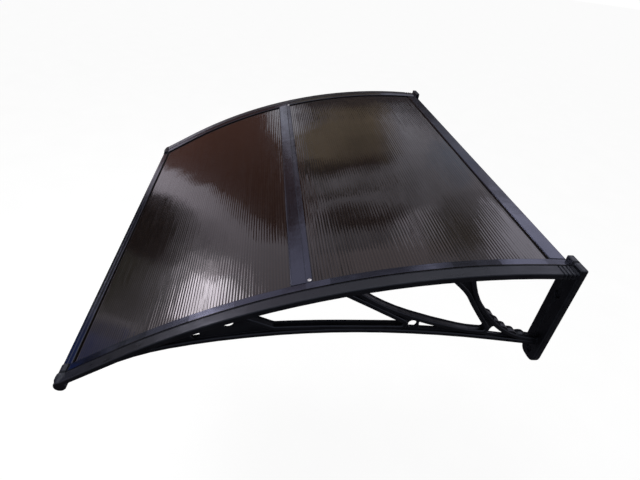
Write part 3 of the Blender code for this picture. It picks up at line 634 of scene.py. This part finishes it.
# %% [markdown]
# ## A white background
# The canopy stands before plain white, as in a catalogue. More light would whiten the
# background, but it would also bleach the black parts. Instead, floor and world ask which ray
# looks at them: the camera's, a reflection's or one through glass sees them white, and to
# every other ray, which lights the canopy, they are dimmer.

# %% Find the rays that see white
def white_rays(tree):
    """1 for the rays that see the white background: camera, glossy and transmission."""
    rays = add(tree, "ShaderNodeLightPath")
    seen = add(tree, "ShaderNodeMath", operation="MAXIMUM")
    join(tree, rays, "Is Camera Ray", seen, 0)
    join(tree, rays, "Is Glossy Ray", seen, 1)
    shown = add(tree, "ShaderNodeMath", operation="MAXIMUM")
    tree.links.new(seen.outputs[0], shown.inputs[0])
    join(tree, rays, "Is Transmission Ray", shown, 1)
    return shown


print("white is seen by camera, glossy and transmission rays")

# %% [markdown]
# ## The floor
# The floor is far below, as under a canopy on a wall, and catches a faint shadow. Lit by the
# lamps alone it would fade to grey away from them. So part of its white is its own glow and
# part is lit, and only the lit part goes dark in the shadow. It is kept out of reflections,
# where the plain cards further down take its place.

# %% Make the floor
FLOOR_HEIGHT = -1.50
FLOOR_HALF = 60.0
FLOOR_GLOW = 0.82               # for the rays that see white
FLOOR_LIGHT = 0.3               # for all others
FLOOR_DARK = (0.28, 0.28, 0.28)
FLOOR_PALE = (0.30, 0.30, 0.30)
FLOOR_ROUGHNESS = (0.85, 0.95)
FLOOR_GRAIN = 0.30


def flat_mesh(name, faces):
    """An object of separate flat faces, each given by its corners, for the floor and the
    cards.
    """
    bm = bmesh.new()
    for corners in faces:
        bm.faces.new([bm.verts.new(corner) for corner in corners])
    thing = mesh_object(name, bm)
    return thing


def make_floor():
    corners = [(a * FLOOR_HALF, b * FLOOR_HALF, FLOOR_HEIGHT)
               for a, b in ((-1, -1), (1, -1), (1, 1), (-1, 1))]
    floor = flat_mesh("floor", [corners])
    material, tree, shader = new_finish("pale_floor")
    fine = grain(tree, FLOOR_GRAIN)
    colour = ramp(tree, fine, NOISE_REACH, FLOOR_DARK, FLOOR_PALE)
    gloss = between(tree, fine, *FLOOR_ROUGHNESS)
    join(tree, colour, "Color", shader, "Base Color")
    join(tree, gloss, "Result", shader, "Roughness")
    shader.inputs["Specular IOR Level"].default_value = 0.0
    shader.inputs["Emission Color"].default_value = (1.0, 1.0, 1.0, 1.0)
    glow = between(tree, white_rays(tree), FLOOR_LIGHT, FLOOR_GLOW)
    join(tree, glow, "Result", shader, "Emission Strength")
    floor.data.materials.append(material)
    floor.visible_glossy = False
    return floor


floor = make_floor()
print(floor.name, "lies", -FLOOR_HEIGHT, "m below the roof's crown")

# %% [markdown]
# ## The world
# The world is the soft light that comes from everywhere. A picture of a sky would bring its
# own colours and bright spots into every reflection. A plain white world has none, and the
# view transform Standard keeps the colours as they are written.

# %% Make the world
WORLD_LIGHT = 0.5


def make_world():
    world = bpy.data.worlds.new("studio")
    bpy.context.scene.world = world
    world.use_nodes = True
    tree = world.node_tree
    background = tree.nodes["Background"]
    background.inputs["Color"].default_value = (1.0, 1.0, 1.0, 1.0)
    level = between(tree, white_rays(tree), WORLD_LIGHT, 1.0)
    join(tree, level, "Result", background, "Strength")


make_world()
bpy.context.scene.view_settings.view_transform = "Standard"
print("world lights with", WORLD_LIGHT)

# %% [markdown]
# ## Cards for the reflections
# A glossy dark sheet looks like whatever it mirrors, so in a studio plain cards are hung
# round it. They could stand close by, but then they would slide over the roof as the view
# turns. These stand far off, and they are seen only in reflections: they give no light of
# their own to dull surfaces and no shadow.
#
# Each card is a flat shape given by directions, an azimuth from -X towards +Y and an
# elevation, both in degrees, so that it is placed by where it shows in the roof. Its glow is
# a little uneven, as on painted card.

# %% Make and hang a card
OBJECT_MIDDLE = Vector((0.0, -0.5, -0.1))
CARD_GRAIN = 3.5
CARD_VARIATION = 0.12           # how much its glow differs from place to place
cards = []


def toward(azimuth, elevation, distance):
    """The point in a direction, at a distance from the object's middle."""
    turn, lift = math.radians(azimuth), math.radians(elevation)
    flat = math.cos(lift)
    way = Vector((-flat * math.cos(turn), flat * math.sin(turn), math.sin(lift)))
    return OBJECT_MIDDLE + way * distance


def card_finish(name, colour, variation):
    """A plain glow. A ramp holds no colour above 1, so the brightness is its strength."""
    material, tree, shader = new_finish(name)
    uneven = grain(tree, CARD_GRAIN)
    light = tuple(value / max(colour) for value in colour)
    dark = tuple(value * (1.0 - variation) / (1.0 + variation) for value in light)
    shade = ramp(tree, uneven, BROAD_REACH, dark, light)
    shader.inputs["Base Color"].default_value = (0.0, 0.0, 0.0, 1.0)
    shader.inputs["Specular IOR Level"].default_value = 0.0
    join(tree, shade, "Color", shader, "Emission Color")
    shader.inputs["Emission Strength"].default_value = max(colour) * (1.0 + variation)
    return material


def show_in_reflections_only(thing):
    for ray in ("camera", "diffuse", "transmission", "volume_scatter", "shadow"):
        setattr(thing, f"visible_{ray}", False)


def hang(name, distance, colour, *shapes, variation=CARD_VARIATION):
    """A card of one colour in one or more shapes."""
    faces = [[toward(azimuth, elevation, distance) for azimuth, elevation in shape]
             for shape in shapes]
    card = flat_mesh(name, faces)
    card.data.materials.append(card_finish(name, colour, variation))
    show_in_reflections_only(card)
    cards.append(card)


print("cards are hung round", [round(value, 2) for value in OBJECT_MIDDLE])

# %% [markdown]
# ## Plain walls and ground
# The largest cards are the room: a grey wall all round, a dark ground under it, and a paler
# ground behind and in front, so that the black brackets show their form from there too. A
# wall could be one long card, but a card is flat and its middle would bulge inwards past the
# others, so a band is made of narrow cards side by side. The darkest stands beyond the near
# end, so that the brackets' sides stay black.

# %% Hang the walls and the ground
BAND_STEP = 15                  # degrees of azimuth to one card
STRAIGHT_DOWN, GROUND_FOOT, HORIZON, WALL_TOP = -89, -50, -9, 46


def band(low, high, start=0, stop=360):
    """Shapes that make a band round the object between two elevations."""
    return [[(turn, low), (turn + BAND_STEP, low), (turn + BAND_STEP, high), (turn, high)]
            for turn in range(start, stop, BAND_STEP)]


hang("dark_ground", 60.0, (0.030, 0.028, 0.032),
     *band(GROUND_FOOT, HORIZON, start=120, stop=240),
     *band(GROUND_FOOT, HORIZON, start=285, stop=405),
     *band(STRAIGHT_DOWN, GROUND_FOOT))
hang("pale_ground", 60.0, (0.24, 0.23, 0.25),
     *band(GROUND_FOOT, HORIZON, start=45, stop=120),
     *band(GROUND_FOOT, HORIZON, start=240, stop=285))
hang("dark_side", 50.0, (0.020, 0.020, 0.024), *band(HORIZON, 8, start=135, stop=210))
hang("grey_wall", 60.0, (0.35, 0.33, 0.37), *band(HORIZON, WALL_TOP), variation=0.45)
print("hung", len(cards), "cards for the room")

# %% [markdown]
# ## Shapes for the front sheet
# The front half of the roof leans down, so it mirrors a part of the room of its own: a brown
# field, a light column beside it, a black patch, and near the bracket a bright window that
# the flutes draw out into streaks. One large soft light would give it a single grey. Each
# field is a card, and where cards lie in one direction the nearer one covers the other.

# %% Hang the cards of the front sheet
room_cards = len(cards)
hang("light_wall", 45.0, (0.66, 0.60, 0.68),
     ((-31, -10), (-20, -10), (-20, 12), (-31, 12)),
     ((-34, 12), (-20, 12), (-10, 18), (-12, 33), (-20, 45), (-45, 45), (-45, 26)))
hang("brown_panel", 31.0, (0.112, 0.048, 0.036),
     ((-28, -10), (-11, -10), (-11, 20), (-12.5, 28), (-18, 30), (-22, 27), (-24.5, 21),
      (-26.5, 12), (-28, 4)))
hang("black_flag", 31.0, (0.006, 0.004, 0.004),
     ((-39.5, -10), (-31, -10), (-31.5, 7), (-33, 9), (-38, 9), (-39.5, 7)))
hang("grey_patch", 31.5, (0.36, 0.33, 0.38),
     ((-35, 9), (-30.5, 9), (-30, 14), (-31, 19), (-34, 18)))
hang("green_grey_card", 32.0, (0.050, 0.050, 0.040),
     ((-47, -10), (-39.5, -10), (-39.5, 6), (-47, 3)))
hang("low_flag", 30.8, (0.010, 0.007, 0.007),
     ((-49.8, -10), (-47.2, -10), (-46.8, -4), (-47.8, 0), (-49.8, 0)))
hang("blue_card", 31.5, (0.018, 0.052, 0.240),
     ((-60, -10), (-48, -10), (-48, 3), (-60, 3)))
hang("window_glow", 31.0, (1.7, 1.55, 1.7),
     ((-46, 14), (-38, 13.5), (-34, 16), (-32.5, 20), (-32.5, 26), (-44, 26)))
hang("bright_window", 30.0, (8.0, 7.4, 8.1),
     ((-43, 17), (-38.5, 16.5), (-36, 18), (-35, 20), (-34.8, 24), (-41, 24)))
hang("small_light", 30.5, (0.90, 0.90, 1.00),
     ((-17, 7), (-8, 7), (-8, 19), (-11, 18), (-14.5, 12.5)))
print("hung", len(cards) - room_cards, "cards for the front sheet")

# %% [markdown]
# ## Shapes for the rear sheet
# The rear half lies nearly level, so it mirrors what stands beyond the far end: a warm field
# crossed by thin dark bands, grey clouds towards the rear bar, and farther back a light that
# the rear bar catches. One picture of a room could be mirrored instead, but then none of its
# parts could be moved alone. The same kind of card serves, in thinner shapes.

# %% Hang the cards of the rear sheet
front_cards = len(cards)
hang("low_dark", 32.0, (0.04, 0.035, 0.04),
     ((-7, 5), (28, 5), (27, 15.5), (18, 18), (6, 19.5), (-5, 18.5)))
hang("warm_band", 32.0, (0.22, 0.175, 0.125),
     ((-9, 19), (12, 19), (12, 26), (-2, 26), (-9, 23)), variation=0.45)
hang("dark_line", 30.5, (0.015, 0.006, 0.005),
     ((-11, 21.5), (-6, 24.2), (0, 25.6), (10, 25.6), (10, 27.4), (-1, 27.2), (-7, 26),
      (-11, 23.5)))
hang("thin_line", 30.5, (0.06, 0.045, 0.045),
     ((-10, 27.5), (0, 29.2), (10, 29.4), (10, 30), (0, 30), (-10, 28.4)))
hang("dark_band", 31.5, (0.045, 0.030, 0.028),
     ((-10, 29.5), (-3, 31.8), (9, 33), (9, 35.5), (-3, 34.5), (-10, 32)))
hang("high_light", 32.0, (0.62, 0.54, 0.58), ((-12, 36), (18, 37), (18, 46), (-12, 46)))
hang("bright_patch", 31.0, (1.05, 0.98, 1.10), ((10, 34), (15, 33), (16, 37.5), (10, 37)))
hang("cloud", 31.8, (0.48, 0.47, 0.53), ((13, 17), (20, 19), (21, 32), (14, 31)),
     variation=0.35)
hang("green_card", 31.0, (0.20, 0.18, 0.16), ((18, 31), (30, 31), (28, 36.5), (18, 37)),
     variation=0.4)
hang("blue_patch", 31.0, (0.30, 0.34, 0.44), ((22, 18), (30, 21), (27, 25), (21, 24)))
hang("side_screen", 50.0, (0.28, 0.26, 0.29),
     *band(WALL_TOP, 72, start=120, stop=240), variation=0.3)
hang("end_light", 31.0, (1.25, 1.20, 1.40), ((31, 24), (48, 24), (48, 35), (31, 35)))
print("hung", len(cards) - front_cards, "cards for the rear sheet")

# %% [markdown]
# ## Lamps
# Two large soft lamps light the canopy plainly, one from above the front and one from the
# camera's side. A sun would give hard shadows in the open brackets. The lamps stay out of
# reflections, so that they draw no bright squares on the roof.

# %% Add the lamps
LAMPS = (   # name, place, point that it faces, size, watts
    ("key", (-1.2, -1.6, 2.4), (0.0, -0.4, -0.1), 1.2, 30.0),
    ("side", (2.4, -1.8, 1.2), (0.3, -0.4, -0.1), 1.0, 12.0),
)
for name, place, target, size, power in LAMPS:
    data = bpy.data.lights.new(name, "AREA")
    data.size = size
    data.energy = power
    lamp = new_object(name, data)
    lamp.location = place
    lamp.rotation_mode = "QUATERNION"
    lamp.rotation_quaternion = (Vector(target) - Vector(place)).to_track_quat("-Z", "Y")
    lamp.visible_glossy = False
print("lit by the world and", len(LAMPS), "lamps")
